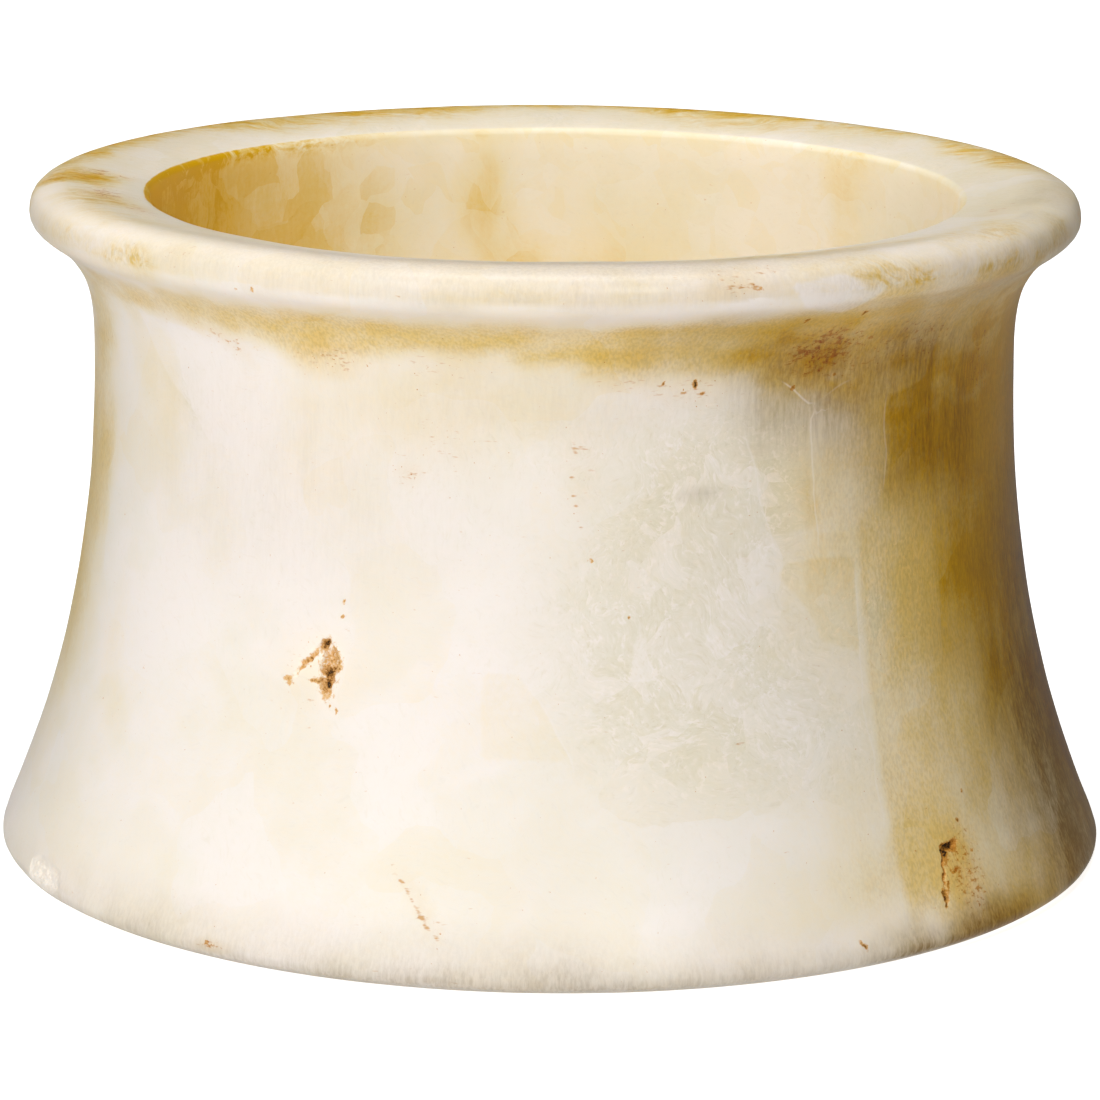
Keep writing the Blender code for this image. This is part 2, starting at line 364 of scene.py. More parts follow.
RUST_TOP = (
    Patch(-88, 56, 4, 5, 0, 0.6),
    Patch(-93, 53, 3.5, 6, 0, 0.6),
    Patch(-78, 52, 6, 4, 0, 0.7),
    Patch(-66, 51, 7, 2.5, 0, 0.6),
    Patch(108, 57, 9, 4, 0, 0.5),
    Patch(70, 53, 8, 3, 0, 0.4),
    Patch(18, 59.5, 8, 1.2, 0, 0.5),
    Patch(-42, 60, 4, 1, 0, 0.45),
)
HONEY_TOP = (
    Patch(-89, 55, 7, 6, 0, 0.6),
    Patch(-74, 54, 9, 6, 0, 0.35),
    Patch(-62, 56, 12, 5, 0, 0.25),
    Patch(-110, 58, 24, 5, 0, 0.45),
    Patch(180, 59, 100, 6, 0, 0.62),
    Patch(-150, 54, 24, 6, 0, 0.3),
    Patch(150, 54, 24, 6, 0, 0.3),
    Patch(-145, 56, 20, 5, 0, 0.3),
    Patch(112, 56, 14, 5, 0, 0.4),
    Patch(30, 54, 24, 4, 0, 0.3),
    Patch(55, 57, 14, 5, 0, 0.25),
)
# The first patch, at turn -98, paints the inner left wall deep amber. This is painted shade, with the amber
# glow of light coming through the wall, on the side of the hollow that faces away from the light.
HONEY_AND_SHADE_INSIDE = (
    Patch(-98, 68, 40, 30, 0, 1.0),
    Patch(-152, 66, 46, 20, 0, 0.08),
    Patch(-140, 66, 18, 16, 0, 0.45),
    Patch(-173, 62, 6, 14, 25, 0.28),
    Patch(170, 62, 8, 12, -30, 0.16),
    Patch(175, 56, 40, 8, 0, 0.2),
    Patch(-168, 68, 4, 9, 0, 0.3),
    Patch(130, 70, 5, 14, 0, 0.3),
    Patch(-60, 45, 50, 40, 0, 0.5),
    Patch(60, 45, 50, 40, 0, 0.5),
)

# Crystal faces that meet the outer wall with crisp edges: how much warmer and how much whiter each one is
# than the stone round it, and the turn and height of its corners
Facet = namedtuple("Facet", "warm white corners")
FACETS = (
    Facet(0.09, -0.1, ((27.7, 44.2), (37.4, 43.3), (37.4, 33.1), (32.8, 35.0), (29.7, 39.7), (26.6, 42.9))),
    Facet(-0.06, -0.25, ((38.6, 40.2), (43.4, 37.9), (39.5, 33.7))),
    Facet(-0.06, 0.3, ((10.0, 38.9), (11.3, 34.0), (12.0, 32.4), (8.8, 32.2))),
    Facet(0.09, 0.0, ((-7.9, 33.3), (-3.5, 33.4), (-0.7, 30.5), (2.1, 24.2), (-7.6, 24.0))),
    Facet(
        -0.05,
        0.05,
        ((31.5, 61.4), (35.7, 62.9), (42.9, 60.5), (42.7, 50.0), (37.4, 46.5), (32.2, 46.5), (31.8, 53.7)),
    ),
    Facet(0.05, -0.15, ((23.2, 57.8), (27.9, 63.2), (31.5, 61.4), (31.8, 53.7), (32.2, 47.1), (26.1, 47.2))),
    Facet(-0.25, 0.2, ((36.5, 74.8), (30.5, 76.5), (24.5, 76.0), (26.5, 73.0), (32.0, 71.8))),
    Facet(-0.12, 0.1, ((36, 70.5), (35.5, 67.6), (33.5, 64), (36, 63), (43, 60.5), (50, 62), (52, 70))),
    Facet(-0.08, 0.15, ((-58, 68), (-46, 67), (-40, 62), (-44, 56), (-52, 60), (-56, 64))),
)

# Long upright crystal borders: from one height to another, the stone is warmer by this amount on the +X side
Border = namedtuple("Border", "turn low high amount")
BORDERS = (Border(38.3, 4, 46, 0.2), Border(42.8, 50, 60, 0.16))

# Flaws that show as fine lines on the outer wall: how white and how rusty each is, and the turn and height of
# its bends
Seam = namedtuple("Seam", "white rust bends")
SEAMS = (
    Seam(0.45, 0.0, ((27.0, 63.8), (27.9, 63.2), (31.5, 61.4), (31.8, 53.7), (32.2, 47.1), (32.3, 43.0))),
    Seam(0.15, 0.0, ((31.5, 61.4), (35.7, 62.9), (38.0, 63.4))),
    Seam(0.4, 0.0, ((23.0, 59.0), (23.2, 57.8), (24.3, 52.2), (26.1, 47.2), (26.4, 45.0))),
    Seam(0.2, 0.0, ((43.0, 61.0), (42.9, 59.7), (42.7, 51.3), (42.6, 49.5))),
    Seam(0.3, 0.0, ((37.6, 45.0), (37.6, 38.7), (37.2, 27.9), (37.7, 18.1), (37.5, 12.0))),
    Seam(0.7, 0.0, ((-7.0, 36.3), (-5.8, 35.7), (-5.2, 35.2), (-4.4, 34.6))),
    Seam(0.6, 0.0, ((10.0, 39.5), (11.3, 34.0), (12.0, 32.4), (8.8, 32.2), (7.8, 32.2))),
    Seam(0.5, 0.0, ((-3.9, 33.8), (-0.7, 30.5), (2.1, 24.2), (2.4, 22.0))),
    Seam(0.0, 0.35, ((2.2, 60.0), (2.3, 58.5), (2.8, 49.8), (5.1, 44.4), (5.6, 43.0))),
    Seam(0.0, 0.6, ((-16.6, 13.2), (-15.9, 12.1), (-13.6, 9.0), (-10.6, 5.4), (-10.0, 4.6))),
)

# The points on a pit's middle line near which the faces are made finer. The faces near the pits, and those
# near the stains, are halved three times, each time within these two distances in millimetres.
POINTS_PER_PIT = 7
FINER_WITHIN = ((2.2, 1.7), (1.6, 1.2), (1.1, 0.9))

# How far beyond a pit's half length, and from a stain's middle, the ragged edges are worked out
BEYOND_PIT = 2
ROUND_STAIN = 4.5

# Smooth noise: how far apart the noises of two seeds lie, and how its octaves shrink and fade
SEED_SHIFT = (17.3, -9.1, 5.7)
OCTAVE_SHRINK = 2.0
OCTAVE_FADE = 1.0

# The distances, as shares of a patch's reach, over which it fades, those over which a seam fades beside its
# line, and a distance that stands for far away
PATCH_FADE = (0.2, 1.15)
SEAM_FADE = (1.0, 2.0)
FAR = 9.0


def refine(points, reach, build):
    """Halves the faces whose middle lies within reach of one of these points."""
    faces = list(build.faces)
    middles = np.array([face.calc_center_median() for face in faces])
    near = np.zeros(len(faces), bool)
    for point, radius in zip(points, reach):
        near |= ((middles - point) ** 2).sum(1) < radius**2
    edges = {edge for face, chosen in zip(faces, near) if chosen for edge in face.edges}
    bmesh.ops.subdivide_edges(build, edges=list(edges), cuts=1, use_grid_fill=True)


def turned_points(turn, radius, height):
    """Points in millimetres from turns in radians, radii and heights."""
    return np.column_stack((radius * np.sin(turn), -radius * np.cos(turn), height))


def wall_radius(height):
    """The outer wall's radius at this height."""
    rows = outline(FINER)
    wall = rows[row_of("flank") * FINER : row_of("crest") * FINER]
    return np.interp(height, wall[:, 1], wall[:, 0])


def pit_points(pit):
    """Points along a pit's middle line."""
    along = np.linspace(-0.5, 0.5, POINTS_PER_PIT) * pit.length
    height = pit.height + along * math.cos(math.radians(pit.lean))
    radius = wall_radius(height)
    turn = math.radians(pit.turn) + along * math.sin(math.radians(pit.lean)) / radius
    return turned_points(turn, radius, height)


def turned_surface():
    """The outline turned round +Z, finer at pits and stains. Each point keeps its place along the outline."""
    rows = outline(1)[1:-1]
    turns = np.arange(COLUMNS) * math.tau / COLUMNS
    build = bmesh.new()
    along = build.verts.layers.float.new("along")
    rings = []
    for row, (radius, height) in enumerate(rows, 1):
        ring = [build.verts.new(point) for point in turned_points(turns, radius, np.full(COLUMNS, height))]
        for vertex in ring:
            vertex[along] = row
        rings.append(ring)
    for ring, above in zip(rings, rings[1:]):
        for column in range(COLUMNS):
            after = (column + 1) % COLUMNS
            build.faces.new((ring[column], ring[after], above[after], above[column]))
    for ring, height, row in ((rings[0], 0.0, 0), (rings[-1], FLOOR_THICKNESS, len(rows) + 1)):
        pole = build.verts.new((0, 0, height))
        pole[along] = row
        for column in range(COLUMNS):
            build.faces.new((ring[column], ring[(column + 1) % COLUMNS], pole))
    bmesh.ops.recalc_face_normals(build, faces=build.faces)
    along_pits = np.vstack([pit_points(pit) for pit in PITS])
    stained = np.array([(math.radians(stain.turn), stain.height) for stain in STAINS])
    stains = turned_points(stained[:, 0], wall_radius(stained[:, 1]), stained[:, 1])
    for pit_reach, stain_reach in FINER_WITHIN:
        reach = np.hstack((np.full(len(along_pits), pit_reach), np.full(len(stains), stain_reach)))
        refine(np.vstack((along_pits, stains)), reach, build)
    return build, along


def noise_at(points, size, seed, octaves=1):
    """Smooth noise of about -1 to 1, with features of this size."""
    shift = Vector([seed * step for step in SEED_SHIFT])
    places = (Vector(point) / size + shift for point in points)
    if octaves == 1:
        return np.array([noise.noise(place) for place in places])
    return np.array([noise.fractal(place, OCTAVE_FADE, OCTAVE_SHRINK, octaves) for place in places])


def smooth_step(value, start, end):
    """Runs smoothly from 0 to 1 as the value goes from start to end, which may be the lower of the two."""
    share = np.clip((value - start) / (end - start), 0, 1)
    return share * share * (3 - 2 * share)


def turn_between(turns, turn):
    """How far round each turn lies from this one, between half a turn back and half a turn on."""
    return (turns - turn + math.pi) % math.tau - math.pi


def leant(patch, turns, radii, rises, wander):
    """Where each point lies along and beside a leaning patch or pit, in millimetres from its middle."""
    across = turn_between(turns, math.radians(patch.turn)) * radii + wander[0]
    up = rises - patch.height + wander[1]
    lean = math.radians(patch.lean)
    return across * math.sin(lean) + up * math.cos(lean), across * math.cos(lean) - up * math.sin(lean)


def patches(marks, where, turns, radii, rises, wander):
    """The strength of soft patches at each point, each one adding to what the others leave."""
    left = np.ones(len(turns))
    for mark in marks:
        along, aside = leant(mark, turns, radii, rises, wander)
        distance = np.hypot(along / mark.up, aside / mark.across)
        left *= 1 - mark.amount * (1 - smooth_step(distance, *PATCH_FADE))
    return np.where(where, 1 - left, 0)


def unrolled(places):
    """Turns in degrees and heights as points on the wall laid flat, in millimetres."""
    return np.array([(math.radians(turn) * WAIST_RADIUS, height) for turn, height in places])


def to_segment(points, start, end):
    """Each point's distance from a segment, on which side it lies, and its share of the way along."""
    way = end - start
    share = np.clip((points - start) @ way / (way @ way), 0, 1)
    aside = points - start - share[:, None] * way
    side = way[0] * (points[:, 1] - start[1]) - way[1] * (points[:, 0] - start[0])
    return np.hypot(aside[:, 0], aside[:, 1]), np.where(side < 0, -1, 1), share


def facet_marks(points):
    """How far inside the nearest facet each point on the unrolled wall is, and that facet's two tones."""
    nearest = np.full(len(points), -FAR)
    tones = np.zeros((len(points), 2))
    for facet in FACETS:
        corners = unrolled(facet.corners)
        closest = np.full(len(points), np.inf)
        within = np.zeros(len(points), bool)
        for start, end in zip(corners, np.roll(corners, -1, axis=0)):
            closest = np.minimum(closest, to_segment(points, start, end)[0])
            spans = (start[1] > points[:, 1]) != (end[1] > points[:, 1])
            rise = end[1] - start[1]
            crossing = start[0] + (points[:, 1] - start[1]) * (end[0] - start[0]) / (rise if rise else 1)
            within ^= spans & (points[:, 0] < crossing)
        inside = np.where(within, closest, -closest)
        better = inside > nearest
        nearest = np.where(better, inside, nearest)
        tones[better] = (facet.warm, facet.white)
    return np.column_stack((nearest, tones))


def seam_marks(points):
    """Each point's signed distance from the nearest seam on the unrolled wall, and that seam's strength."""
    nearest = np.full(len(points), FAR)
    strength = np.zeros((len(points), 2))
    for seam in SEAMS:
        bends = unrolled(seam.bends)
        count = len(bends) - 1
        for step, (start, end) in enumerate(zip(bends, bends[1:])):
            distance, side, share = to_segment(points, start, end)
            better = distance < np.abs(nearest)
            nearest = np.where(better, side * distance, nearest)
            ends = smooth_step(step + share, 0, 1) * (1 - smooth_step(step + share, count - 1, count))
            strength[better] = (ends[:, None] * np.array((seam.white, seam.rust)))[better]
    strength *= (1 - smooth_step(np.abs(nearest), *SEAM_FADE))[:, None]
    return np.column_stack((nearest, strength))


# The mesh's points: where each was turned to, its place along the outline, its turn, radius and height on the
# smooth outline, which way is out of the surface there, and the part of the vessel that it is on
Surface = namedtuple("Surface", "points along turns radii heights out up is_wall is_top is_inside")


def read_surface(build, along_layer):
    points = np.array([vertex.co for vertex in build.verts], float)
    along = np.array([vertex[along_layer] for vertex in build.verts])
    fine = outline(FINER)
    place = np.arange(len(fine)) / FINER
    ways = np.gradient(fine, axis=0)
    ways /= np.linalg.norm(ways, axis=1, keepdims=True)
    return Surface(
        points=points,
        along=along,
        turns=np.arctan2(points[:, 0], -points[:, 1]),
        radii=np.interp(along, place, fine[:, 0]),
        heights=np.interp(along, place, fine[:, 1]),
        out=np.interp(along, place, ways[:, 1]),
        up=np.interp(along, place, -ways[:, 0]),
        is_wall=(along > row_of("heel")) & (along < row_of("crest", end=True)),
        is_top=(along >= row_of("crest")) & (along <= row_of("lip", end=True)),
        is_inside=along > row_of("lip"),
    )


def carving(surface):
    """How uneven hand carving leaves the form, in millimetres, but never outside the solid's box."""
    uneven = 0.14 * noise_at(surface.points, size=26, seed=1, octaves=3)
    uneven += 0.03 * noise_at(surface.points, size=7, seed=2)
    near_top = smooth_step(surface.heights, HEIGHT - 1.5, HEIGHT - 0.2)
    near_foot = 1 - smooth_step(surface.heights, 0.6, 4)
    uneven -= 0.25 * np.maximum(near_top, near_foot) * (surface.along < row_of("lip"))
    uneven[surface.along <= row_of("heel")] = 0
    return uneven


def close_to_marks(surface):
    """Whether each point of the outer wall lies near a pit or a stain."""
    close = np.zeros(len(surface.turns), bool)
    reaches = [(pit, pit.length / 2 + BEYOND_PIT) for pit in PITS]
    reaches += [(stain, ROUND_STAIN) for stain in STAINS]
    for mark, reach in reaches:
        aside = np.abs(turn_between(surface.turns, math.radians(mark.turn))) * surface.radii
        close |= surface.is_wall & (aside < reach) & (np.abs(surface.heights - mark.height) < reach)
    return close


def pit_depth(pit, turns, radii, heights, ragged):
    """How deep a pit cuts at each point, as a share of its depth."""
    along, aside = leant(pit, turns, radii, heights, ragged)
    distance = np.hypot(along / (pit.length / 2), aside / (pit.breadth / 2))
    return np.sqrt(np.clip(1 - distance**2, 0, 1))


def pits_and_dirt(surface):
    """How deep the pits are at each point, in millimetres, and how strong the dirt is."""
    close = close_to_marks(surface)
    points = surface.points[close]
    ragged = np.zeros((2, len(close)))
    ragged[0, close] = 0.3 * noise_at(points, size=0.8, seed=3, octaves=3)
    ragged[1, close] = 0.3 * noise_at(points, size=0.8, seed=4, octaves=3)
    rough = np.zeros(len(close))
    rough[close] = 0.5 * noise_at(points, size=0.5, seed=5, octaves=3)
    places = (surface.turns, surface.radii, surface.heights, ragged)
    pits = np.zeros(len(close))
    for pit in PITS:
        depth = np.where(close, pit_depth(pit, *places), 0)
        pits = np.maximum(pits, depth * pit.depth * (1 + rough))
    return pits, patches(STAINS, close, *places)


def lifted(surface, lift):
    """The points on the smooth outline, each moved straight out of the surface by its lift."""
    points = turned_points(surface.turns, surface.radii, surface.heights)
    points[:, 0] += np.sin(surface.turns) * surface.out * lift
    points[:, 1] -= np.cos(surface.turns) * surface.out * lift
    points[:, 2] += surface.up * lift
    return points


def layered(surface, honey, streaks, bent):
    """The honey, with the painted shade laid on with it, with its streaks and layers, and with the long
    upright crystal borders.
    """
    points, turns, heights, is_wall = surface.points, surface.turns, surface.heights, surface.is_wall
    from_right = np.degrees(np.abs(turn_between(turns, math.radians(80))))
    streaked = 0.04 + 0.05 * smooth_step(from_right, 60, 25)
    honey = np.where(honey > 0.05, honey + streaked * streaks, honey)
    bedding = noise_at(points * (0.25, 1, 1), size=2.2, seed=16, octaves=2)
    honey = np.where(surface.is_top, honey * (1 + 0.45 * bedding) + 0.12, honey)
    layers = noise_at(points * (0.3, 0.3, 1), size=1.8, seed=17, octaves=2)
    honey = np.where(is_wall & (heights > 58), honey * (1 + 0.25 * layers), honey)
    for border in BORDERS:
        beyond = turn_between(turns, math.radians(border.turn)) * surface.radii + bent[:, 0]
        fade = smooth_step(heights, border.low - 4, border.low + 4)
        fade = fade * smooth_step(heights, border.high + 8, border.high - 8)
        amount = border.amount * is_wall * fade
        honey = honey + amount * smooth_step(beyond, -0.3, 0.5) * smooth_step(beyond, 40, 5)
    return honey


def stone_marks(surface, dirt):
    """What the stone's colours are made from: each attribute's name and its values, one for each point."""
    points, turns, radii, heights = surface.points, surface.turns, surface.radii, surface.heights
    is_wall, is_top, is_inside = surface.is_wall, surface.is_top, surface.is_inside
    wander_round = 3 * noise_at(points, size=10, seed=6, octaves=3)
    wander_up = 1.2 * noise_at(points, size=8, seed=7, octaves=3)
    wander = np.array((wander_round, wander_up))
    bent = np.column_stack([noise_at(points, size=6, seed=seed, octaves=3) for seed in (11, 12, 13)])
    streaks = noise_at(points * (1, 1, 0.1), size=2.4, seed=15, octaves=2)

    on_wall = (is_wall, turns, radii, heights)
    on_top = (is_top, turns, radii, radii)
    in_hollow = (is_inside, turns, radii, heights)
    # Honey and olive hold both the stone's own tones and painted shade: on the right flank, round the foot,
    # under and along the rim, and on the inner left wall.
    honey = patches(HONEY_AND_SHADE_OUTSIDE, *on_wall, wander) * smooth_step(heights, 75.5, 70.5)
    honey = np.maximum(honey, patches(HONEY_RIM, *on_wall, wander))
    honey = np.maximum(honey, patches(HONEY_TOP, *on_top, wander))
    honey = np.maximum(honey, patches(HONEY_AND_SHADE_INSIDE, *in_hollow, wander))
    honey = np.maximum(honey, 0.35 * (surface.along < row_of("heel")))
    glassy = patches(GLASSY_OUTSIDE, *on_wall, wander)
    glassy = np.maximum(glassy, np.where(is_wall, 0, 0.4 - 0.3 * is_inside))
    # The olive is mostly painted shade, with a little of the stone's own olive tone.
    olive = np.maximum(patches(OLIVE_AND_SHADE_OUTSIDE, *on_wall, wander), patches(OLIVE_AND_SHADE_TOP, *on_top, wander))
    rust = np.maximum(patches(RUST_OUTSIDE, *on_wall, wander / 2), patches(RUST_TOP, *on_top, wander / 2))

    flat = np.column_stack((turns * WAIST_RADIUS, heights)) + 0.5 * bent[:, :2]
    facets = facet_marks(flat)
    facets[~is_wall, 0] = -FAR
    seams = seam_marks(flat)
    seams[~is_wall, 1:] = 0
    return {
        "zone": np.column_stack((is_inside, is_top, is_wall)),
        "dirt": dirt,
        "honey": layered(surface, honey, streaks, bent),
        "glassy": glassy,
        "rust": rust,
        "olive": olive * (1 + 0.18 * streaks),
        "clouds": noise_at(points + 5 * bent, size=20, seed=14, octaves=3),
        "grain": points + 1.8 * bent,
        "facet": facets,
        "seam": seams,
    }


def make_vessel():
    build, along_layer = turned_surface()
    surface = read_surface(build, along_layer)
    pits, dirt = pits_and_dirt(surface)
    for vertex, point in zip(build.verts, lifted(surface, carving(surface) - pits) * MM):
        vertex.co = point
    mesh = bpy.data.meshes.new("vessel_surface")
    build.to_mesh(mesh)
    build.free()
    mesh.shade_smooth()
    mesh.attributes.remove(mesh.attributes["along"])
    for name, values in stone_marks(surface, dirt).items():
        kind, field = ("FLOAT", "value") if values.ndim == 1 else ("FLOAT_VECTOR", "vector")
        layer = mesh.attributes.new(name, kind, "POINT")
        layer.data.foreach_set(field, values.astype(np.float32).ravel())
    vessel = bpy.data.objects.new("vessel_surface", mesh)
    bpy.context.scene.collection.objects.link(vessel)
    return vessel


def srgb(red, green, blue):
    """A colour as seen on screen, in the linear values that shaders use."""
    return tuple((c / 255) ** 2.2 for c in (red, green, blue)) + (1.0,)


class Graph:
    """Adds shader nodes one step at a time, so that a material or a world reads from top to bottom."""

    def __init__(self, tree):
        self.tree = tree

    def node(self, kind, settings, sockets):
        node = self.tree.nodes.new(kind)
        for name, value in settings.items():
            setattr(node, name, value)
        for name, value in sockets.items():
            self.feed(node.inputs[name], value)
        return node

    def feed(self, socket, value):
        if isinstance(value, bpy.types.NodeSocket):
            self.tree.links.new(value, socket)
        else:
            socket.default_value = value

    def math(self, operation, first, second=0.0):
        return self.node("ShaderNodeMath", {"operation": operation}, {0: first, 1: second}).outputs[0]

    def times(self, first, second):
        return self.math("MULTIPLY", first, second)

    def total(self, *values):
        result = values[0]
        for value in values[1:]:
            result = self.math("ADD", result, value)
        return result

    def centred(self, value, amount):
        """A value from 0 to 1 as one that varies round 0."""
        sockets = {0: value, 1: amount, 2: -amount / 2}
        return self.node("ShaderNodeMath", {"operation": "MULTIPLY_ADD"}, sockets).outputs[0]

    def step(self, value, start, end, low=0.0, high=1.0):
        """Runs smoothly from low to high as the value goes from start to end."""
        settings = {"interpolation_type": "SMOOTHSTEP"}
        sockets = {"Value": value, "From Min": start, "From Max": end, "To Min": low, "To Max": high}
        return self.node("ShaderNodeMapRange", settings, sockets).outputs["Result"]

    def scaled(self, vector, factor):
        sockets = {0: vector, "Scale": factor}
        return self.node("ShaderNodeVectorMath", {"operation": "SCALE"}, sockets).outputs[0]

    def stretched(self, vector, scale):
        """A vector scaled by its own number along each axis."""
        return self.node("ShaderNodeVectorMath", {"operation": "MULTIPLY"}, {0: vector, 1: scale}).outputs[0]

    def facing(self, way, source):
        """How squarely a direction faces a source of light: 1 straight at it and 0 beside or behind it."""
        along = self.node("ShaderNodeVectorMath", {"operation": "DOT_PRODUCT"}, {0: way, 1: source})
        return self.math("MAXIMUM", along.outputs["Value"], 0.0)

    def noise(self, where, size, detail, roughness):
        sockets = {"Vector": where, "Scale": 1 / size, "Detail": detail, "Roughness": roughness}
        return self.node("ShaderNodeTexNoise", {}, sockets).outputs["Fac"]

    def cells(self, where, size):
        """A pattern of cells of this size, each with a colour of its own."""
        return self.node("ShaderNodeTexVoronoi", {}, {"Vector": where, "Scale": 1 / size}).outputs["Color"]

    def channels(self, colour):
        """The three numbers of a colour."""
        return self.node("ShaderNodeSeparateColor", {}, {0: colour}).outputs

    def attribute(self, name):
        return self.node("ShaderNodeAttribute", {"attribute_name": name}, {}).outputs

    def number(self, name):
        """A number that the mesh keeps."""
        return self.attribute(name)["Fac"]

    def three(self, name):
        """Three numbers that the mesh keeps in one attribute."""
        return self.node("ShaderNodeSeparateXYZ", {}, {0: self.attribute(name)["Vector"]}).outputs

    def mix(self, share, first, second, blend="MIX"):
        settings = {"data_type": "RGBA", "blend_type": blend}
        node = self.node("ShaderNodeMix", settings, {0: share})
        self.feed(node.inputs[6], first)
        self.feed(node.inputs[7], second)
        return node.outputs[2]

    def ramp(self, value, stops):
        """Runs through these colours, each at its own place from 0 to 1."""
        node = self.node("ShaderNodeValToRGB", {}, {0: value})
        for place, colour in stops[2:]:
            node.color_ramp.elements.new(place)
        for element, (place, colour) in zip(node.color_ramp.elements, stops):
            element.position = place
            element.color = colour
        return node.outputs["Color"]


# The stone's colours
WHITE = srgb(252, 243, 235)
CREAM = srgb(247, 239, 226)
GLASSY = srgb(228, 219, 192)
HONEY = srgb(240, 208, 134)
RUST = srgb(214, 158, 62)
TAN = srgb(228, 180, 104)
BROWN = srgb(150, 98, 30)
UMBER = srgb(40, 28, 10)
# An olive colour, laid on mostly as painted shade.
OLIVE_AND_SHADE_TONE = srgb(150, 130, 92)
GRIT = srgb(196, 186, 168)
LEMON = srgb(255, 255, 245)
WARM_TONES = (
    (0.0, srgb(255, 255, 255)),
    (0.3, srgb(252, 245, 222)),
    (0.6, srgb(242, 218, 148)),
    (0.85, srgb(236, 198, 84)),
    (0.94, srgb(226, 178, 4)),
)

# The dirt's colours: how strong it is where each one starts and where it is full, how much it covers, the
# colour and how it is laid on
DIRT_TONES = (
    (0.2, 0.6, 0.9, TAN, "MULTIPLY"),
    (0.6, 0.9, 0.9, BROWN, "MIX"),
    (0.85, 1.1, 0.95, UMBER, "MIX"),
)

# The crystals: large ones with crisp borders, each turned by up to this many radians, and inside them plates,
# feathers and fibres, in millimetres. A scale makes a pattern finer along each of the crystal's own axes.
CRYSTAL = 13.0
CRYSTAL_TURN = 1.5
PLATE = 3.4
PLATE_SCALE = (1.0, 1.0, 0.55)
FEATHER = 2.6
FEATHER_SCALE = (1.0, 1.0, 0.35)
FIBRE_WIDTH = 0.4
FIBRE_LENGTH = 2.6
FIBRE_SCALE = (1 / FIBRE_WIDTH, 1 / FIBRE_WIDTH, 1 / FIBRE_LENGTH)

# The finer patterns, laid along the vessel's axes: an even grain, upright threads in the honey, bedding on
# the rim's top, grit, rusty specks and dots, and the lace that breaks up the dirt
FINE = 0.8
THREAD_SCALE = (2.4, 2.4, 0.4)
BEDDING = 1.3
BEDDING_SCALE = (0.35, 1.5, 1.5)
GRIT_SCALE = (3.4, 3.4, 1.5)
SPECK_SCALE = (0.45, 1.4, 1.9)
DOT = 0.36
LACE = 0.4

# The polish, and the light that spreads inside the stone: how much of it there is, how far it goes in metres,
# and the shares of that for red, green and blue
ROUGHNESS = 0.32
GLOSS = 0.25
SPREAD_WEIGHT = 0.4
SPREAD_REACH = 0.008
SPREAD_SHARES = (1.0, 0.62, 0.32)

Patterns = namedtuple(
    "Patterns",
    "place grain tones plates feathers fibres fine threads clouds glassy honey olive rust dirt soil"
    " warm_facet white_facet seam is_inside is_top is_wall",
)


def read_patterns(graph):
    """The patterns that the colours are made from, some kept in the mesh and some made here by noise."""
    metres = graph.node("ShaderNodeTexCoord", {}, {}).outputs["Object"]
    place = graph.scaled(metres, 1 / MM)
    grain = graph.attribute("grain")["Vector"]
    crystal = graph.cells(grain, CRYSTAL)
    sockets = {"Vector": grain, "Rotation": graph.scaled(crystal, CRYSTAL_TURN)}
    turned = graph.node("ShaderNodeVectorRotate", {"rotation_type": "EULER_XYZ"}, sockets).outputs[0]
    dirt = graph.number("dirt")
    lace = graph.centred(graph.noise(place, LACE, 3.0, 0.7), 1.6)
    facet = graph.three("facet")
    in_facet = graph.step(facet[0], -0.3, 0.3)
    is_inside, is_top, is_wall = graph.three("zone")
    return Patterns(
        place=place,
        grain=grain,
        tones=graph.channels(crystal),
        plates=graph.channels(graph.cells(graph.stretched(turned, PLATE_SCALE), PLATE)),
        feathers=graph.noise(graph.stretched(turned, FEATHER_SCALE), FEATHER, 3.0, 0.65),
        fibres=graph.noise(graph.stretched(turned, FIBRE_SCALE), 1.0, 3.0, 0.65),
        fine=graph.noise(place, FINE, 3.0, 0.7),
        threads=graph.noise(graph.stretched(place, THREAD_SCALE), 1.0, 3.0, 0.7),
        clouds=graph.number("clouds"),
        glassy=graph.number("glassy"),
        # Honey and olive from the mesh carry painted shade as well as the stone's own tones.
        honey=graph.number("honey"),
        olive=graph.number("olive"),
        rust=graph.number("rust"),
        dirt=dirt,
        soil=graph.total(dirt, graph.times(lace, graph.step(dirt, 0.02, 0.3))),
        warm_facet=graph.times(in_facet, facet[1]),
        white_facet=graph.times(in_facet, facet[2]),
        seam=graph.three("seam"),
        is_inside=is_inside,
        is_top=is_top,
        is_wall=is_wall,
    )


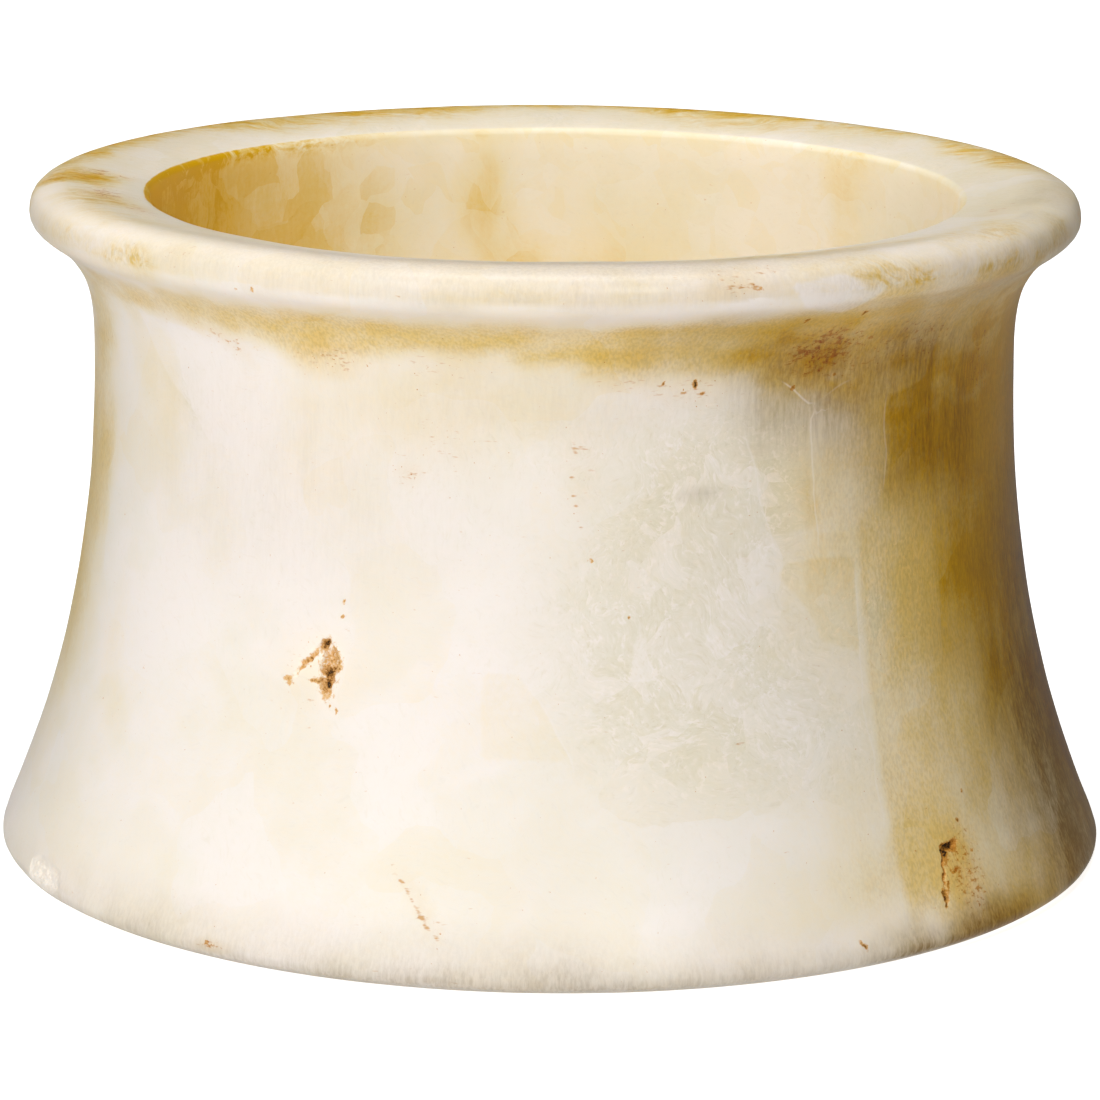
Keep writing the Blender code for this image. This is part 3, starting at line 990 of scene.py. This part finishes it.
def pale_stone(graph, patterns):
    """White where the crystals are crushed fine, glassy with feathers and fibres where they are clear."""
    fine, fibres, white_facet = patterns.fine, patterns.fibres, patterns.white_facet
    milky = graph.total(patterns.clouds, white_facet, graph.centred(fine, 0.9))
    colour = graph.mix(graph.step(milky, -0.7, 0.7), CREAM, WHITE)
    clear = graph.total(patterns.glassy, graph.centred(patterns.tones[0], 0.2), graph.centred(fine, 0.5))
    clear = graph.step(graph.math("SUBTRACT", clear, white_facet), 0.0, 1.1)
    colour = graph.mix(graph.times(clear, 0.85), colour, GLASSY)
    frost = graph.step(graph.total(patterns.plates[1], graph.centred(fine, 0.7)), 0.5, 1.05, 0.0, 0.7)
    colour = graph.mix(graph.times(clear, frost), colour, WHITE)
    ridge = graph.math("ABSOLUTE", graph.math("SUBTRACT", patterns.feathers, 0.5))
    feathers = graph.times(graph.step(ridge, 0.045, 0.0), graph.step(clear, 0.0, 0.7, 0.15, 0.85))
    colour = graph.mix(graph.times(feathers, graph.step(fine, 0.4, 0.62)), colour, WHITE)
    shown = graph.step(clear, 0.0, 0.7, 0.4, 1.0)
    colour = graph.mix(graph.times(graph.step(fibres, 0.5, 0.72, 0.0, 0.55), shown), colour, WHITE)
    shaded = graph.times(graph.step(fibres, 0.48, 0.25, 0.0, 0.35), shown)
    return graph.mix(shaded, colour, GLASSY, "MULTIPLY")


def warmed(graph, patterns, colour):
    """Adds honey, amber and olive from iron in the stone, and the painted shade laid on in the same tones, a
    little grainy on the outer wall.
    """
    honey, threads = patterns.honey, patterns.threads
    by_crystal = graph.centred(patterns.tones[1], 0.1)
    warm = graph.total(honey, patterns.warm_facet, by_crystal, graph.centred(patterns.fibres, 0.2))
    warm = graph.total(warm, graph.times(patterns.clouds, -0.07), graph.centred(patterns.fine, 0.15), 0.02)
    warm = graph.total(warm, graph.times(graph.centred(threads, 0.25), honey))
    domains = graph.times(graph.centred(patterns.plates[2], 0.18), patterns.is_inside)
    bedding = graph.noise(graph.stretched(patterns.grain, BEDDING_SCALE), BEDDING, 3.0, 0.65)
    bedded = graph.times(graph.step(honey, 0.1, 0.6, 0.12, 1.0), patterns.is_top)
    warm = graph.total(warm, domains, graph.times(graph.centred(bedding, 1.4), bedded))
    # Deep amber from this ramp is partly painted shade, on the right flank, at the foot and on the inner left
    # wall.
    colour = graph.mix(1.0, colour, graph.ramp(warm, WARM_TONES), "MULTIPLY")
    colour = graph.mix(patterns.is_inside, colour, LEMON, "MULTIPLY")
    # The olive darkening is mostly painted shade, with a little of the stone's own olive tone.
    olive = graph.times(patterns.olive, graph.step(threads, 0.2, 0.75, 1.3, 0.7))
    colour = graph.mix(olive, colour, OLIVE_AND_SHADE_TONE, "MULTIPLY")
    grit = graph.noise(graph.stretched(patterns.place, GRIT_SCALE), 1.0, 1.0, 0.5)
    gritty = graph.times(graph.step(grit, 0.35, 0.7, 0.0, 0.28), graph.step(honey, 0.1, 0.6))
    return graph.mix(graph.times(gritty, patterns.is_wall), colour, GRIT, "MULTIPLY")


def marked(graph, patterns, colour):
    """Adds the seams, rust in fine specks and short streaks, and the dirt in the pits and round them."""
    rust, place = patterns.rust, patterns.place
    beside = graph.math("ABSOLUTE", patterns.seam[0])
    line = graph.step(beside, 0.2, 0.0, 0.0, 0.8)
    colour = graph.mix(graph.times(line, patterns.seam[1]), colour, WHITE)
    rust_line = graph.times(graph.step(beside, 0.5, 0.0), patterns.seam[2])
    specks = graph.noise(graph.stretched(place, SPECK_SCALE), 1.0, 2.0, 0.7)
    specks = graph.total(specks, graph.times(rust, 0.3), graph.times(rust_line, 0.35))
    colour = graph.mix(graph.step(specks, 0.7, 0.9, 0.0, 0.8), colour, RUST, "MULTIPLY")
    dots = graph.total(graph.noise(place, DOT, 1.0, 0.5), graph.times(rust, 0.18))
    colour = graph.mix(graph.step(dots, 0.77, 0.87, 0.0, 0.85), colour, RUST, "MULTIPLY")
    colour = graph.mix(graph.times(rust, 0.3), colour, HONEY, "MULTIPLY")
    for start, full, amount, tone, blend in DIRT_TONES:
        colour = graph.mix(graph.step(patterns.soil, start, full, 0.0, amount), colour, tone, blend)
    return colour


def stone():
    material = bpy.data.materials.new("alabaster")
    material.use_nodes = True
    shader = material.node_tree.nodes["Principled BSDF"]
    graph = Graph(material.node_tree)
    patterns = read_patterns(graph)
    colour = marked(graph, patterns, warmed(graph, patterns, pale_stone(graph, patterns)))
    graph.feed(shader.inputs["Base Color"], colour)
    dull = graph.total(ROUGHNESS, graph.centred(patterns.fine, 0.06), graph.times(patterns.dirt, 0.4))
    graph.feed(shader.inputs["Roughness"], dull)
    shader.inputs["Specular IOR Level"].default_value = GLOSS
    shader.subsurface_method = "BURLEY"
    graph.feed(shader.inputs["Subsurface Weight"], graph.step(patterns.soil, 0.1, 0.5, SPREAD_WEIGHT, 0.0))
    shader.inputs["Subsurface Radius"].default_value = SPREAD_SHARES
    shader.inputs["Subsurface Scale"].default_value = SPREAD_REACH
    return material


# The floor: half its breadth and how far it lies below the vessel in metres, its colour and its own glow,
# which keeps it as pale as the backdrop
FLOOR_HALF = 4.0
FLOOR_DROP = 0.0002
FLOOR_LOOKS = {
    "Base Color": srgb(250, 250, 250),
    "Roughness": 0.7,
    "Specular IOR Level": 0.0,
    "Emission Color": srgb(250, 250, 250),
    "Emission Strength": 0.68,
}


def make_floor():
    material = bpy.data.materials.new("floor")
    material.use_nodes = True
    for name, value in FLOOR_LOOKS.items():
        material.node_tree.nodes["Principled BSDF"].inputs[name].default_value = value
    mesh = bpy.data.meshes.new("floor")
    corners = [(x * FLOOR_HALF, y * FLOOR_HALF, 0) for x, y in ((-1, -1), (1, -1), (1, 1), (-1, 1))]
    mesh.from_pydata(corners, [], [(0, 1, 2, 3)])
    mesh.materials.append(material)
    floor = bpy.data.objects.new("floor", mesh)
    floor.location.z = -FLOOR_DROP
    floor.visible_diffuse = False
    floor.visible_glossy = False
    bpy.context.scene.collection.objects.link(floor)


# Round soft lights aimed at the vessel's middle: from what turn and elevation in degrees, how far away and
# how broad in metres, and how strong in watts
Lamp = namedtuple("Lamp", "name turn elevation distance breadth power")
LAMPS = (
    Lamp("key", -30, 28, 0.75, 0.32, 0.88),
    Lamp("front", 18, 26, 0.8, 0.18, 1.42),
    Lamp("behind", -150, 45, 1.0, 0.6, 0.9),
    Lamp("above", 0, 90, 0.9, 0.6, 3.4),
)

# The soft light of the room: how strong it is from all round, and the ways from which more comes, from the
# left and back up from the white table
FILL_EVENLY = 0.07
FILL = (((-0.69, -0.69, 0.21), 0.92), ((0, 0, -1), 0.88))


def soft_light(lamp):
    light = bpy.data.lights.new(lamp.name, "AREA")
    light.shape = "ELLIPSE"
    light.size = light.size_y = lamp.breadth
    light.energy = lamp.power
    thing = bpy.data.objects.new(lamp.name, light)
    turn = math.radians(lamp.turn)
    elevation = math.radians(lamp.elevation)
    flat = math.cos(elevation)
    way = Vector((math.sin(turn) * flat, -math.cos(turn) * flat, math.sin(elevation)))
    middle = Vector((0, 0, HEIGHT / 2 * MM))
    thing.location = middle + way * lamp.distance
    thing.rotation_mode = "QUATERNION"
    thing.rotation_quaternion = (middle - thing.location).to_track_quat("-Z", "Y")
    bpy.context.scene.collection.objects.link(thing)


def make_light():
    for lamp in LAMPS:
        soft_light(lamp)
    world = bpy.data.worlds.new("studio")
    world.use_nodes = True
    background = world.node_tree.nodes["Background"]
    graph = Graph(world.node_tree)
    way = graph.node("ShaderNodeTexCoord", {}, {}).outputs["Generated"]
    fills = [graph.times(graph.facing(way, source), power) for source, power in FILL]
    background.inputs["Color"].default_value = (1, 1, 1, 1)
    graph.feed(background.inputs["Strength"], graph.total(FILL_EVENLY, *fills))
    bpy.context.scene.world = world
    bpy.context.scene.view_settings.view_transform = "Standard"


# The camera as fitted to the vessel's outline in the photograph, in millimetres and radians, and the
# photograph's focal length and breadth in pixels
CAMERA_AWAY = 601.8
CAMERA_HEIGHT = 176.5
CAMERA_YAW = -0.00044
CAMERA_PITCH = math.radians(13.338)
CAMERA_ROLL = math.radians(0.488)
SENSOR = 36.0
FOCAL_PIXELS = 5257.5
PHOTO_PIXELS = 1100


def make_camera():
    data = bpy.data.cameras.new("camera")
    data.sensor_width = SENSOR
    data.lens = SENSOR * FOCAL_PIXELS / PHOTO_PIXELS
    camera = bpy.data.objects.new("camera", data)
    flat = math.cos(CAMERA_PITCH)
    forward = Vector((math.sin(CAMERA_YAW) * flat, math.cos(CAMERA_YAW) * flat, -math.sin(CAMERA_PITCH)))
    right = Vector((math.cos(CAMERA_YAW), -math.sin(CAMERA_YAW), 0))
    level = Matrix((right, right.cross(forward), -forward)).transposed().to_4x4()
    rolled = level @ Matrix.Rotation(CAMERA_ROLL, 4, "Z")
    camera.matrix_world = Matrix.Translation((0, -CAMERA_AWAY * MM, CAMERA_HEIGHT * MM)) @ rolled
    bpy.context.scene.collection.objects.link(camera)
    bpy.context.scene.camera = camera


vessel = make_vessel()
vessel.data.materials.append(stone())
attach(vessel, "root")
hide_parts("vessel")
make_floor()
make_light()
make_camera()
